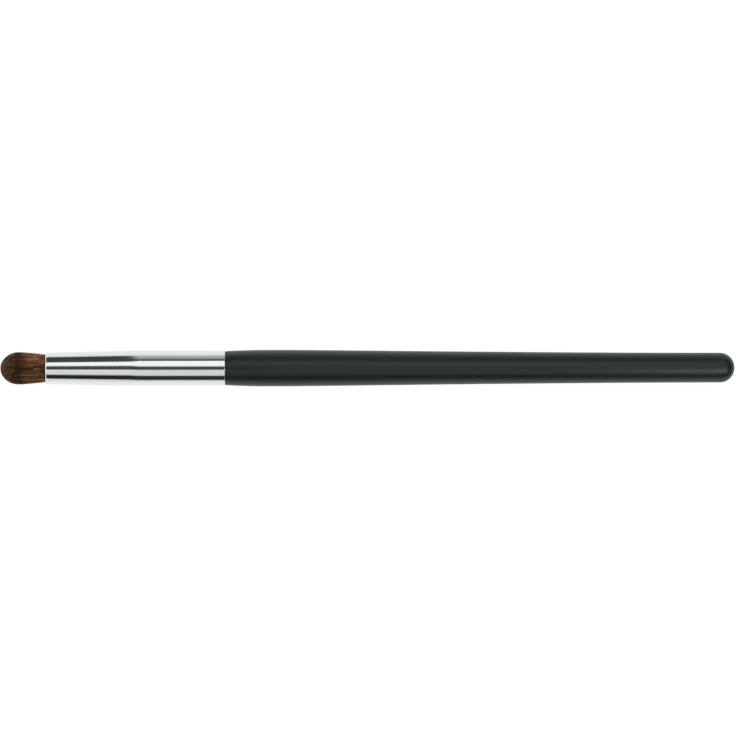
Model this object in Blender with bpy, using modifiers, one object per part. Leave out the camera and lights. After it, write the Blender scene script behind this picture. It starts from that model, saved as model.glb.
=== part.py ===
"""A round eye makeup brush, for blending colour in the crease of the eyelid.

A dome of brown hair is tied with thread and potted in resin inside a plated ferrule. The ferrule
is glued over the tenon of a turned wooden handle, which has a matt black finish.

The brush lies on its side along X, the hair at -X and the rounded tail at +X, with Z up. The
origin is on the table, under the middle of the brush. Each piece is modelled along the brush's
own axis, where z is zero at the mouth of the ferrule and grows towards the tail, so the hair that
shows has a negative z. Lengths are in metres.
"""

import math

import bmesh
import bpy
import numpy as np
from mathutils import Matrix

# Lengths that show, which add up to the length of the brush
HAIR_LENGTH = 0.0108
FERRULE_LENGTH = 0.0428
HANDLE_LENGTH = 0.1214

# Glue line or clearance between two pieces that fit together
FIT_GAP = 0.0001

# Ferrule: a drawn tube with a conical front and a straight barrel
MOUTH_DIAMETER = 0.0075
BARREL_DIAMETER = 0.0084
FERRULE_WALL = 0.0004
CONE_LENGTH = 0.0205
CONE_BLEND_LENGTH = 0.0050
LIP_LENGTH = 0.0006
REAR_RIM_LENGTH = 0.0006
RIM_OUTER_SHARE = 0.70

# Handle: a turned barrel that swells behind the ferrule and tapers to a domed tail
SHOULDER_STEP = 0.00023
SHOULDER_CHAMFER = 0.00015
SWELL_DIAMETER = 0.0086
SWELL_DISTANCE = 0.0090
SWELL_LAND_LENGTH = 0.0056
SWELL_EASE_SHARE = 0.40
TAIL_DIAMETER = 0.0070
TAIL_DOME_LENGTH = 0.00345
TAPER_LEAVE_SHARE = 0.08
TAPER_ARRIVE_SHARE = 0.39

# Tenon of the handle, inside the ferrule, with two ring grooves that key the glue
TENON_AIR_GAP = 0.0050
TENON_CHAMFER = 0.0006
GLUE_THICKNESS = 0.0002
GROOVE_COUNT = 2
GROOVE_WIDTH = 0.0012
GROOVE_DEPTH = 0.00025

# Hair that shows: a flank that swells to the belly, then a dome
BELLY_DIAMETER = 0.0075
DOME_LENGTH = 0.00445
DOME_CLOSING_SHARE = 0.10
STRAND_COUNT = 380
STRAND_SPANS = 2
STRAND_FILL_SHARE = 0.80
STRAND_TIP_SHARE = 0.42
STRAND_SHORTENING = 0.0003
STRAND_SEED = 5

# Hair inside the ferrule, where it is packed into one bundle
BUNDLE_INSET = 0.0015
ROOT_DEPTH = 0.0140
ROOT_CHAMFER = 0.0003

# Thread wound round the bundle, in one unbroken helix
BINDING_DEPTH = 0.0050
THREAD_DIAMETER = 0.00035
THREAD_CLEARANCE = 0.00045
BINDING_TURNS = 4
POINTS_PER_TURN = 24

# Resin that holds the root of the hair
RESIN_SKIN = 0.00035
RESIN_BACKING = 0.0025

# Fineness of the faceted surfaces
TURNED_SIDES = 24
ROUND_STEPS = 4
DOME_STEPS = 8
TAPER_STEPS = 12
SWELL_STEPS = 5
BLEND_STEPS = 3
MERGE_DISTANCE = 0.000001

GOLDEN_ANGLE = math.pi * (3 - math.sqrt(5))
HALF_SIDE_ANGLE = math.pi / TURNED_SIDES

# Radii and places that follow from the sizes above
MOUTH_RADIUS = MOUTH_DIAMETER / 2
BARREL_RADIUS = BARREL_DIAMETER / 2
SWELL_RADIUS = SWELL_DIAMETER / 2
TAIL_RADIUS = TAIL_DIAMETER / 2
BELLY_RADIUS = BELLY_DIAMETER / 2
THREAD_RADIUS = THREAD_DIAMETER / 2
TOTAL_LENGTH = HAIR_LENGTH + FERRULE_LENGTH + HANDLE_LENGTH
TAIL_END = FERRULE_LENGTH + HANDLE_LENGTH


def ferrule_radius(depth):
    """Outer radius of the ferrule: a straight cone, a short parabola, and the straight barrel."""
    slope = (BARREL_RADIUS - MOUTH_RADIUS) / CONE_LENGTH
    to_barrel = CONE_LENGTH + CONE_BLEND_LENGTH / 2 - depth
    if to_barrel <= 0:
        return BARREL_RADIUS
    if to_barrel < CONE_BLEND_LENGTH:
        return BARREL_RADIUS - slope * to_barrel**2 / (2 * CONE_BLEND_LENGTH)
    return MOUTH_RADIUS + slope * depth


def bore_radius(depth):
    return ferrule_radius(depth) - FERRULE_WALL


# Hair and thread, inside the ferrule
NECK_RADIUS = bore_radius(0) - FIT_GAP
THREAD_PITCH = THREAD_DIAMETER + THREAD_CLEARANCE
BINDING_END = BINDING_DEPTH + BINDING_TURNS * THREAD_PITCH + THREAD_DIAMETER + 2 * FIT_GAP
WINDING_RADIUS = bore_radius(BINDING_DEPTH) - FIT_GAP - THREAD_RADIUS
WAIST_RADIUS = WINDING_RADIUS - THREAD_RADIUS - FIT_GAP
RESIN_START = BINDING_END + FIT_GAP
ROOT_RADIUS = bore_radius(RESIN_START) - FIT_GAP - RESIN_SKIN - FIT_GAP
RESIN_END = ROOT_DEPTH + FIT_GAP + RESIN_BACKING

# Tenon and its glue, inside the ferrule
TENON_START = RESIN_END + TENON_AIR_GAP
TENON_LENGTH = FERRULE_LENGTH - TENON_START
GLUE_OUTER_RADIUS = bore_radius(TENON_START) - FIT_GAP
GLUE_INNER_RADIUS = GLUE_OUTER_RADIUS - GLUE_THICKNESS
TENON_RADIUS = GLUE_INNER_RADIUS - FIT_GAP

# Handle
SHOULDER_RADIUS = BARREL_RADIUS - SHOULDER_STEP
SHOULDER_PLANE = FERRULE_LENGTH + FIT_GAP
SWELL_START = FERRULE_LENGTH + SWELL_DISTANCE
SWELL_END = SWELL_START + SWELL_LAND_LENGTH
TAIL_DOME_START = TAIL_END - TAIL_DOME_LENGTH

# The flats of the faceted swell touch the table, so the axis lies at their distance
AXIS_HEIGHT = max(SWELL_RADIUS, BARREL_RADIUS) * math.cos(HALF_SIDE_ANGLE)


def clear_scene():
    for old in list(bpy.data.objects):
        bpy.data.objects.remove(old)


def new_collection(name):
    collection = bpy.data.collections.new(name)
    bpy.context.scene.collection.children.link(collection)
    return collection


def new_material(name, colour, roughness, metallic=0.0):
    """A Principled material from an sRGB colour, given as three whole numbers up to 255."""
    material = bpy.data.materials.new(name)
    material.use_nodes = True
    shader = material.node_tree.nodes["Principled BSDF"]
    linear = [((value / 255 + 0.055) / 1.055) ** 2.4 for value in colour]
    shader.inputs["Base Color"].default_value = (*linear, 1.0)
    shader.inputs["Roughness"].default_value = roughness
    shader.inputs["Metallic"].default_value = metallic
    material.diffuse_color = (*linear, 1.0)
    return material


def quarter_ellipse(side, end, steps):
    """Points from side, where the outline runs along the axis, to end, where it runs across it."""
    points = []
    for step in range(steps + 1):
        angle = math.pi / 2 * step / steps
        radius = end[0] + (side[0] - end[0]) * math.cos(angle)
        depth = side[1] + (end[1] - side[1]) * math.sin(angle)
        points.append((radius, depth))
    return points


def bezier(corners, steps):
    """Points on the Bezier curve of these control points, both ends included."""
    degree = len(corners) - 1
    points = []
    for step in range(steps + 1):
        t = step / steps
        weights = [
            math.comb(degree, k) * t**k * (1 - t) ** (degree - k) for k in range(degree + 1)
        ]
        points.append(
            tuple(sum(w * corner[i] for w, corner in zip(weights, corners)) for i in range(2))
        )
    return points


def without_repeats(outline):
    """The outline with each point that repeats the one before it left out."""
    kept = [outline[0]]
    for point in outline[1:]:
        if math.dist(point, kept[-1]) > MERGE_DISTANCE:
            kept.append(point)
    return kept


def turned_piece(name, outline, closed, material, collection, axis):
    """A round piece from its outline, a list of (radius, z) that runs down its outer side.

    The Screw modifier turns the outline about the brush's axis, from half a side round, so that
    one flat of the piece faces the table.
    """
    points = without_repeats(outline)
    edges = [(i, i + 1) for i in range(len(points) - 1)]
    if closed:
        edges.append((len(points) - 1, 0))
    mesh = bpy.data.meshes.new(name)
    mesh.from_pydata([(radius, 0.0, z) for radius, z in points], edges, [])
    mesh.materials.append(material)
    piece = bpy.data.objects.new(name, mesh)
    collection.objects.link(piece)
    piece.parent = axis
    piece.rotation_euler.z = HALF_SIDE_ANGLE
    screw = piece.modifiers.new("turn", "SCREW")
    screw.axis = "Z"
    screw.angle = 2 * math.pi
    screw.steps = TURNED_SIDES
    screw.render_steps = TURNED_SIDES
    screw.use_merge_vertices = True
    screw.merge_threshold = MERGE_DISTANCE
    screw.use_smooth_shade = True
    return piece


def tenon_grooves():
    """(start, end) of each ring groove in the tenon, from the shoulder inwards."""
    grooves = []
    for index in reversed(range(GROOVE_COUNT)):
        centre = TENON_START + TENON_LENGTH * (index + 1) / (GROOVE_COUNT + 1)
        grooves.append((centre + GROOVE_WIDTH / 2, centre - GROOVE_WIDTH / 2))
    return grooves


def handle_outline():
    """From the end of the tail, along the barrel to the shoulder, then down the tenon.

    The crest of the swell is level for a short way, and the brush balances and rests on it.
    """
    taper = SWELL_END - TAIL_DOME_START
    barrel = bezier(
        [
            (TAIL_RADIUS, TAIL_DOME_START),
            (TAIL_RADIUS, TAIL_DOME_START + taper * TAPER_ARRIVE_SHARE),
            (SWELL_RADIUS, SWELL_END - taper * TAPER_LEAVE_SHARE),
            (SWELL_RADIUS, SWELL_END),
        ],
        TAPER_STEPS,
    )
    chamfer_end = SHOULDER_PLANE + SHOULDER_CHAMFER
    front_swell = bezier(
        [
            (SWELL_RADIUS, SWELL_START),
            (SWELL_RADIUS, SWELL_START - (SWELL_START - chamfer_end) * SWELL_EASE_SHARE),
            (SHOULDER_RADIUS, chamfer_end),
        ],
        SWELL_STEPS,
    )
    dome = quarter_ellipse((TAIL_RADIUS, TAIL_DOME_START), (0.0, TAIL_END), DOME_STEPS)
    outline = dome[::-1] + barrel + front_swell
    outline.append((SHOULDER_RADIUS - SHOULDER_CHAMFER, SHOULDER_PLANE))
    outline.append((TENON_RADIUS, SHOULDER_PLANE))
    for start, end in tenon_grooves():
        outline.append((TENON_RADIUS, start))
        outline.append((TENON_RADIUS - GROOVE_DEPTH, start))
        outline.append((TENON_RADIUS - GROOVE_DEPTH, end))
        outline.append((TENON_RADIUS, end))
    outline.append((TENON_RADIUS, TENON_START + TENON_CHAMFER))
    outline.append((TENON_RADIUS - TENON_CHAMFER, TENON_START))
    outline.append((0.0, TENON_START))
    return outline


def glue_outline():
    """A sleeve round the tenon, with an inner rib in each of the tenon's grooves."""
    rear = SHOULDER_PLANE - FIT_GAP
    front = TENON_START + TENON_CHAMFER
    outline = [
        (GLUE_INNER_RADIUS, rear),
        (GLUE_OUTER_RADIUS, rear),
        (GLUE_OUTER_RADIUS, front),
        (GLUE_INNER_RADIUS, front),
    ]
    for start, end in reversed(tenon_grooves()):
        outline.append((GLUE_INNER_RADIUS, end + FIT_GAP))
        outline.append((GLUE_INNER_RADIUS - GROOVE_DEPTH, end + FIT_GAP))
        outline.append((GLUE_INNER_RADIUS - GROOVE_DEPTH, start - FIT_GAP))
        outline.append((GLUE_INNER_RADIUS, start - FIT_GAP))
    return outline


def ferrule_outline():
    """Down the outside from the rear rim to the lip, and up the bore. Both rims are rounded."""
    outer_share = FERRULE_WALL * RIM_OUTER_SHARE
    blend_end = CONE_LENGTH + CONE_BLEND_LENGTH / 2
    blend = [blend_end - CONE_BLEND_LENGTH * step / BLEND_STEPS for step in range(BLEND_STEPS + 1)]
    rear_edge = FERRULE_LENGTH - REAR_RIM_LENGTH
    rear_rim = quarter_ellipse(
        (BARREL_RADIUS, rear_edge), (BARREL_RADIUS - outer_share, FERRULE_LENGTH), ROUND_STEPS
    )
    lip_radius = ferrule_radius(LIP_LENGTH)
    lip = quarter_ellipse(
        (lip_radius, LIP_LENGTH), (lip_radius - outer_share, 0.0), ROUND_STEPS
    )
    outside = rear_rim[::-1] + [(ferrule_radius(z), z) for z in blend] + lip
    bore = [(bore_radius(z), z) for z in [0.0, *blend[::-1], FERRULE_LENGTH]]
    return outside + bore


def bundle_outline():
    """The packed hair in the ferrule: first as wide as the bore, then a waist, then the root."""
    return [
        (0.0, ROOT_DEPTH),
        (ROOT_RADIUS - ROOT_CHAMFER, ROOT_DEPTH),
        (ROOT_RADIUS, ROOT_DEPTH - ROOT_CHAMFER),
        (ROOT_RADIUS, BINDING_END),
        (WAIST_RADIUS, BINDING_END),
        (WAIST_RADIUS, BINDING_DEPTH),
        (bore_radius(BINDING_DEPTH) - FIT_GAP, BINDING_DEPTH),
        (bore_radius(BUNDLE_INSET) - FIT_GAP, BUNDLE_INSET),
        (0.0, BUNDLE_INSET),
    ]


def resin_outline():
    """A cup round the root of the hair, filling the bore behind it."""
    socket_radius = ROOT_RADIUS + FIT_GAP
    socket_floor = ROOT_DEPTH + FIT_GAP
    return [
        (0.0, RESIN_END),
        (bore_radius(RESIN_END) - FIT_GAP, RESIN_END),
        (bore_radius(RESIN_START) - FIT_GAP, RESIN_START),
        (socket_radius, RESIN_START),
        (socket_radius, socket_floor),
        (0.0, socket_floor),
    ]


def flank_radius(height):
    """Outline of the hair below the dome, by height above the mouth, carried on inside the dome.

    It swells from the mouth to the belly as a quarter sine, and closes slightly past the belly.
    """
    belly_height = HAIR_LENGTH - DOME_LENGTH
    if height <= 0:
        return NECK_RADIUS
    if height < belly_height:
        swell = math.sin(math.pi / 2 * height / belly_height)
        return NECK_RADIUS + (BELLY_RADIUS - NECK_RADIUS) * swell
    past = (height - belly_height) / DOME_LENGTH
    return BELLY_RADIUS * (1 - DOME_CLOSING_SHARE * past**2)


def strand_height(share):
    """Where a strand ends that stands at this share of the tuft's radius, on an elliptical dome."""
    past = math.sqrt((1 - share**2) / (1 - 2 * DOME_CLOSING_SHARE * share**2))
    return HAIR_LENGTH - DOME_LENGTH + DOME_LENGTH * past


def tube_mesh(curve_object, name):
    """The curve's tube as a closed mesh, its caps welded on. The curve is removed."""
    bpy.context.view_layer.update()
    graph = bpy.context.evaluated_depsgraph_get()
    mesh = bpy.data.meshes.new_from_object(curve_object.evaluated_get(graph))
    mesh.name = name
    form = bmesh.new()
    form.from_mesh(mesh)
    bmesh.ops.remove_doubles(form, verts=form.verts, dist=MERGE_DISTANCE)
    bmesh.ops.recalc_face_normals(form, faces=form.faces)
    form.to_mesh(mesh)
    form.free()
    bpy.data.objects.remove(curve_object)
    return mesh


def add_spline(curve, points, radii):
    spline = curve.splines.new("POLY")
    spline.points.add(len(points) - 1)
    for target, point, radius in zip(spline.points, points, radii):
        target.co = (*point, 1.0)
        target.radius = radius
    return spline


def three_sided_section(radius, collection):
    """A small triangle, which a curve carries along itself as the section of a strand."""
    curve = bpy.data.curves.new("strand_section", "CURVE")
    curve.dimensions = "2D"
    corners = [math.tau * k / 3 for k in range(3)]
    points = [(radius * math.cos(a), radius * math.sin(a), 0.0) for a in corners]
    spline = add_spline(curve, points, [1.0] * 3)
    spline.use_cyclic_u = True
    section = bpy.data.objects.new("strand_section", curve)
    section.hide_render = True
    collection.objects.link(section)
    return section


def strand_bundle(axis, helpers):
    """All the strands as one helper object, for the Boolean that joins them to the bundle.

    The strands stand on a sunflower spiral, at equal areas. Each keeps its share of the tuft's
    radius all the way up, so none crosses another. The outer ones are cut a little short at random.
    """
    spacing = NECK_RADIUS * math.sqrt(math.pi / STRAND_COUNT)
    strand_radius = spacing * STRAND_FILL_SHARE / 2
    section = three_sided_section(strand_radius, helpers)
    curve = bpy.data.curves.new("strands", "CURVE")
    curve.dimensions = "3D"
    curve.bevel_mode = "OBJECT"
    curve.bevel_object = section
    curve.use_fill_caps = True
    chance = np.random.default_rng(STRAND_SEED)
    root_height = -BUNDLE_INSET - strand_radius
    for index in range(STRAND_COUNT):
        share = math.sqrt((index + 0.5) / STRAND_COUNT)
        angle = index * GOLDEN_ANGLE
        top = strand_height(share) - STRAND_SHORTENING * share * chance.random()
        points = []
        radii = []
        for step in range(STRAND_SPANS + 1):
            along = step / STRAND_SPANS
            height = root_height + (top - root_height) * along
            taper = 1 - (1 - STRAND_TIP_SHARE) * along**3
            reach = share * (flank_radius(height) - strand_radius * taper)
            points.append((reach * math.cos(angle), reach * math.sin(angle), -height))
            radii.append(taper)
        add_spline(curve, points, radii)
    curve_object = bpy.data.objects.new("strand_curves", curve)
    helpers.objects.link(curve_object)
    strands = bpy.data.objects.new("strands", tube_mesh(curve_object, "strands"))
    bpy.data.objects.remove(section)
    strands.hide_render = True
    strands.display_type = "WIRE"
    strands.parent = axis
    strands.rotation_euler.z = HALF_SIDE_ANGLE
    helpers.objects.link(strands)
    return strands


def make_hair_tuft(parts, helpers, axis):
    hair = new_material("brown_hair", (92, 64, 42), 0.6)
    tuft = turned_piece("hair_tuft", bundle_outline(), False, hair, parts, axis)
    join = tuft.modifiers.new("strands", "BOOLEAN")
    join.operation = "UNION"
    join.solver = "EXACT"
    join.object = strand_bundle(axis, helpers)
    return tuft


def winding_points():
    """Centre line of the thread: a helix of equal turns."""
    count = BINDING_TURNS * POINTS_PER_TURN
    start = BINDING_DEPTH + THREAD_RADIUS + FIT_GAP
    points = []
    for index in range(count + 1):
        turn = index / POINTS_PER_TURN
        angle = math.tau * turn
        x = WINDING_RADIUS * math.cos(angle)
        y = WINDING_RADIUS * math.sin(angle)
        points.append((x, y, start + THREAD_PITCH * turn))
    return points


def least_gap(points):
    """Least clear distance between two turns of the winding, measured on its points."""
    line = np.array(points)
    apart = np.linalg.norm(line[:, None] - line[None, :], axis=2)
    steps = np.abs(np.subtract.outer(np.arange(len(line)), np.arange(len(line))))
    return apart[steps > POINTS_PER_TURN // 2].min() - THREAD_DIAMETER


def make_hair_binding(parts, axis):
    cotton = new_material("cotton_thread", (222, 212, 190), 0.85)
    curve = bpy.data.curves.new("hair_binding", "CURVE")
    curve.dimensions = "3D"
    curve.bevel_depth = THREAD_RADIUS
    curve.bevel_resolution = 1
    curve.use_fill_caps = True
    points = winding_points()
    add_spline(curve, points, [1.0] * len(points))
    curve_object = bpy.data.objects.new("binding_curve", curve)
    parts.objects.link(curve_object)
    mesh = tube_mesh(curve_object, "hair_binding")
    mesh.materials.append(cotton)
    binding = bpy.data.objects.new("hair_binding", mesh)
    parts.objects.link(binding)
    binding.parent = axis
    print(f"hair_binding: least gap between turns {least_gap(points) * 1000:.2f} mm")
    return binding


def make_brush_axis(parts):
    """An empty at the ferrule's mouth, its Z along the brush towards the tail."""
    axis = bpy.data.objects.new("brush_axis", None)
    parts.objects.link(axis)
    mouth = (HAIR_LENGTH - TOTAL_LENGTH / 2, 0.0, AXIS_HEIGHT)
    axis.matrix_world = Matrix.Translation(mouth) @ Matrix.Rotation(math.pi / 2, 4, "Y")
    return axis


def make_brush():
    clear_scene()
    parts = new_collection("makeup_brush")
    helpers = new_collection("helpers")
    axis = make_brush_axis(parts)
    black_lacquer = new_material("black_lacquer", (42, 47, 45), 0.42)
    bright_plating = new_material("bright_plating", (214, 216, 214), 0.08, 1.0)
    clear_resin = new_material("clear_resin", (196, 160, 96), 0.25)
    wood_glue = new_material("wood_glue", (226, 214, 184), 0.6)
    turned_piece("handle", handle_outline(), False, black_lacquer, parts, axis)
    turned_piece("ferrule", ferrule_outline(), True, bright_plating, parts, axis)
    turned_piece("tenon_glue", glue_outline(), True, wood_glue, parts, axis)
    turned_piece("root_resin", resin_outline(), False, clear_resin, parts, axis)
    make_hair_binding(parts, axis)
    make_hair_tuft(parts, helpers, axis)


make_brush()
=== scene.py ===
"""Looks of a round eye makeup brush: a domed hair tuft, a bright ferrule and a matt black handle.

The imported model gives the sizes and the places. Each of its pieces is made again here as a fine
surface, worked out with numpy along the axis of the brush. There a depth is a distance from the
mouth of the ferrule towards the tail, so the hair that shows has a negative depth. Lengths are in
metres, and a name that ends in _MM is in millimetres.
"""

import math

import bmesh
import bpy
import numpy as np
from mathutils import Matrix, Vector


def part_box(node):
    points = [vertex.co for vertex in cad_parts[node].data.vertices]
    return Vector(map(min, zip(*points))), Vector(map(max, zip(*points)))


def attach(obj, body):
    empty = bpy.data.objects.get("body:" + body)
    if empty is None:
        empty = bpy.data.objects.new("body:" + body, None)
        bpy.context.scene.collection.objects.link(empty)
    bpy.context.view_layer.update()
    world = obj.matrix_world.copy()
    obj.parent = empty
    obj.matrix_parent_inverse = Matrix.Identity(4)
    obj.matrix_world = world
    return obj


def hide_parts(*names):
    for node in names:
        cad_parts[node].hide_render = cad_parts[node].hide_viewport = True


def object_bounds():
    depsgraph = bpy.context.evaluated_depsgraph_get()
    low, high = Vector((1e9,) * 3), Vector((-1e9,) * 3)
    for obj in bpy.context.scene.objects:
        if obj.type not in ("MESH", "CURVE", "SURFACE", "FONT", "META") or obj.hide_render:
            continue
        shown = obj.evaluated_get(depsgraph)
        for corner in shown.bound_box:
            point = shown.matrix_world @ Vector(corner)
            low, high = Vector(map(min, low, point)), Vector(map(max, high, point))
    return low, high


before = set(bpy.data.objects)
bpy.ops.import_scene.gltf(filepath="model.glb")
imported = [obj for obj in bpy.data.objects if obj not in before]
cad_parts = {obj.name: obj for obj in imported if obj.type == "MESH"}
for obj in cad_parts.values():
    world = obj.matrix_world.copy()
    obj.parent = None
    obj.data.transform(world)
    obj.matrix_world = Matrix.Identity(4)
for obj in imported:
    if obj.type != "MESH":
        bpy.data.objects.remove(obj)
CAD_LOW, CAD_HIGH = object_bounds()

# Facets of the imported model: its corners lie on the true round surface
CAD_SIDES = 24
FLAT_SHARE = math.cos(math.pi / CAD_SIDES)

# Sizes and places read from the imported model
FERRULE_LOW, FERRULE_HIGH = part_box("ferrule")
HANDLE_LOW, HANDLE_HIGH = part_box("handle")
TUFT_LOW, TUFT_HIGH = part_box("hair_tuft")
BINDING_LOW, BINDING_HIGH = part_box("hair_binding")
RESIN_LOW, RESIN_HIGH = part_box("root_resin")
GLUE_LOW, GLUE_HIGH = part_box("tenon_glue")
MOUTH_X = FERRULE_LOW.x
AXIS_Z = (HANDLE_LOW.z + HANDLE_HIGH.z) / 2
HAIR_LENGTH = FERRULE_LOW.x - TUFT_LOW.x
FERRULE_LENGTH = FERRULE_HIGH.x - FERRULE_LOW.x
BARREL_RADIUS = (FERRULE_HIGH.z - FERRULE_LOW.z) / 2 / FLAT_SHARE
SWELL_RADIUS = (HANDLE_HIGH.z - HANDLE_LOW.z) / 2 / FLAT_SHARE
TENON_START = HANDLE_LOW.x - MOUTH_X
TAIL_END = HANDLE_HIGH.x - MOUTH_X
ROOT_DEPTH = TUFT_HIGH.x - MOUTH_X
BINDING_START = BINDING_LOW.x - MOUTH_X
BINDING_END = BINDING_HIGH.x - MOUTH_X
RESIN_START = RESIN_LOW.x - MOUTH_X
RESIN_END = RESIN_HIGH.x - MOUTH_X
GLUE_START = GLUE_LOW.x - MOUTH_X
GLUE_END = GLUE_HIGH.x - MOUTH_X

# Sizes that the part's source has too
FIT_GAP = 0.0001
MOUTH_RADIUS = 0.00375
FERRULE_WALL = 0.0004
CONE_LENGTH = 0.0205
CONE_BLEND_LENGTH = 0.0050
LIP_LENGTH = 0.0006
RIM_OUTER_SHARE = 0.70
SWELL_DISTANCE = 0.0090
SWELL_LAND_LENGTH = 0.0056
SWELL_EASE_SHARE = 0.40
TAIL_RADIUS = 0.0035
TAIL_DOME_LENGTH = 0.00345
TAPER_LEAVE_SHARE = 0.08
TAPER_ARRIVE_SHARE = 0.39
TENON_CHAMFER = 0.0006
GLUE_THICKNESS = 0.0002
GROOVE_COUNT = 2
GROOVE_WIDTH = 0.0012
GROOVE_DEPTH = 0.00025
DOME_LENGTH = 0.00445
DOME_CLOSING_SHARE = 0.10
BUNDLE_INSET = 0.0015
THREAD_RADIUS = 0.000175
BINDING_TURNS = 4
RESIN_SKIN = 0.00035

# Where the ferrule meets the handle, these are finer than in the part's source. The coat of
# lacquer makes the handle a little thicker than the solid and ends a little inside the ferrule.
# It fills out the shoulder, which the source steps down by 0.23 mm and chamfers by 0.15 mm. The
# ferrule's rear rim is rounded over 0.12 mm, not 0.6 mm, and the gap of 0.1 mm is nearly closed.
LACQUER_COAT = 0.00004
LACQUER_OVERLAP = 0.0006
REAR_RIM_LENGTH = 0.00012
SEATING_LENGTH = 0.00003
SHOULDER_GAP = 0.00002
SHOULDER_STEP = 0.00014
SHOULDER_CHAMFER = 0.00004
SEATED_LENGTH = FERRULE_LENGTH + SEATING_LENGTH
SHOULDER_PLANE = SEATED_LENGTH + SHOULDER_GAP
HANDLE_RADIUS = SWELL_RADIUS + LACQUER_COAT
HANDLE_TAIL_RADIUS = TAIL_RADIUS + LACQUER_COAT
FLOOR_Z = AXIS_Z - HANDLE_RADIUS

# Fineness of the surfaces, with the longest step along an outline
HANDLE_STEP = 0.001
GLUE_STEP = 0.0005
BUNDLE_STEP = 0.0004
RESIN_STEP = 0.0003
TURNED_SIDES = 192
ROUND_STEPS = 16
TAPER_STEPS = 160
SWELL_STEPS = 40
DOME_STEPS = 40
MERGE_DISTANCE = 0.0000002
SHARP_ANGLE = math.radians(32)

# Hair: 12,000 hairs in three layers, with spans that get shorter towards the tip. Real hairs are
# finer, too fine to show, and these are as thick as it takes for the tuft to look full.
HAIR_LAYERS = ("hair_core", "hair_middle", "hair_outer")
HAIRS_PER_LAYER = 4000
HAIR_RADIUS = 0.000037
HAIR_SPANS = 7
HAIR_SPAN_POWER = 1.7
HAIR_SIDES = 3
HAIR_ROOT_INSET = 0.0020
HAIR_TIP_SHARE = 0.7
HAIR_TAPER_FROM_SHARE = 0.9
HAIR_WAVE = 0.00004
HAIR_SHORTENING = 0.00016
HAIR_SHORTENING_LIMIT = 4 * HAIR_SHORTENING
HAIR_TONE_SHARE = 0.3
HAIR_SEED = 11
LOCK_COUNT = 420
LOCK_SCATTER_SHARE = 0.25
LOCK_PULL_SHARE = 0.36
LOCK_PULL_FROM_SHARE = 0.25
LOCK_SHORTENING = 0.00012
LOCK_SPREAD_SHARE = 0.035
LOCK_SPREAD_FROM_SHARE = 0.4
LOCK_SPREAD_INWARD_SHARE = 0.3
LOCK_TONE_SHARE = 0.5
LEAST_TONE = 0.1
LEAST_EDGE_SHARE = 0.15
# Painted shade at the ferrule's mouth: how far out from the mouth the hair is darkened, for the gap
# under the lip
MOUTH_SHADE_REACH = 0.00028
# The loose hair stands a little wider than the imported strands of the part, whose radius is 3.75 mm
BELLY_RADIUS = 0.0038
GOLDEN_ANGLE = math.pi * (3 - math.sqrt(5))

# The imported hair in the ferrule: its ridges, one for each few outer hairs, and their tones
BUNDLE_RIDGES = 150
POINTS_PER_RIDGE = 4
RIDGE_SHARE = 0.008
BUNDLE_LEAST_TONE = 0.2
BUNDLE_TONE_SHARE = 0.6

# Thread
POINTS_PER_TURN = 96
THREAD_SIDES = 24
THREAD_PLIES = 3
PLY_LOBE_SHARE = 0.14
TWISTS_PER_TURN = 14

# The photograph: 736 pixels across, of which the brush takes 734.2, and turned by 0.06 degrees
BRUSH_PIXELS = 734.2
BRUSH_LEFT_PIXEL = 0.3
PHOTO_PIXELS = 736
PHOTO_ROLL = -0.0011
LENS_MM = 500
SENSOR_MM = 36


# Outlines, as arrays of (depth, radius) rows

def ferrule_radius(depth):
    """Outer radius of the ferrule: a straight cone, a short parabola, and the straight barrel."""
    slope = (BARREL_RADIUS - MOUTH_RADIUS) / CONE_LENGTH
    to_barrel = CONE_LENGTH + CONE_BLEND_LENGTH / 2 - np.asarray(depth, float)
    cone = MOUTH_RADIUS + slope * depth
    blend = BARREL_RADIUS - slope * to_barrel**2 / (2 * CONE_BLEND_LENGTH)
    front = np.where(to_barrel < CONE_BLEND_LENGTH, blend, cone)
    return np.where(to_barrel <= 0, BARREL_RADIUS, front)


def bore_radius(depth):
    """Inner radius of the ferrule, which follows its outside."""
    return ferrule_radius(depth) - FERRULE_WALL


def rows(*pairs):
    """An outline from its corners, each a depth and a radius."""
    return np.array(pairs, float)


def along_ferrule(start, end, radius_at, steps):
    """Rows that follow a radius function from one depth to another, in equal steps."""
    depth = np.linspace(start, end, steps + 1)
    return np.stack([depth, radius_at(depth)], axis=-1)


def quarter_ellipse(side, end, steps=ROUND_STEPS):
    """Rows from side, where the outline runs along the axis, to end, where it runs across it."""
    angle = np.linspace(0, math.pi / 2, steps + 1)
    depth = side[0] + (end[0] - side[0]) * np.sin(angle)
    radius = end[1] + (side[1] - end[1]) * np.cos(angle)
    return np.stack([depth, radius], axis=-1)


def bezier(corners, steps):
    """Rows on the Bezier curve of these corners: their sum, weighted by Bernstein polynomials."""
    t = np.linspace(0, 1, steps + 1)[:, None]
    degree = len(corners) - 1
    weights = [math.comb(degree, k) * t**k * (1 - t) ** (degree - k) for k in range(degree + 1)]
    return sum(weight * np.array(corner) for weight, corner in zip(weights, corners))


def in_fine_steps(outline, longest):
    """The same outline with straight stretches cut into steps no longer than this."""
    pieces = []
    for start, end in zip(outline[:-1], outline[1:]):
        count = max(1, math.ceil(math.dist(start, end) / longest))
        share = np.arange(count)[:, None] / count
        pieces.append(start + (end - start) * share)
    return np.vstack([*pieces, outline[-1:]])


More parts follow.
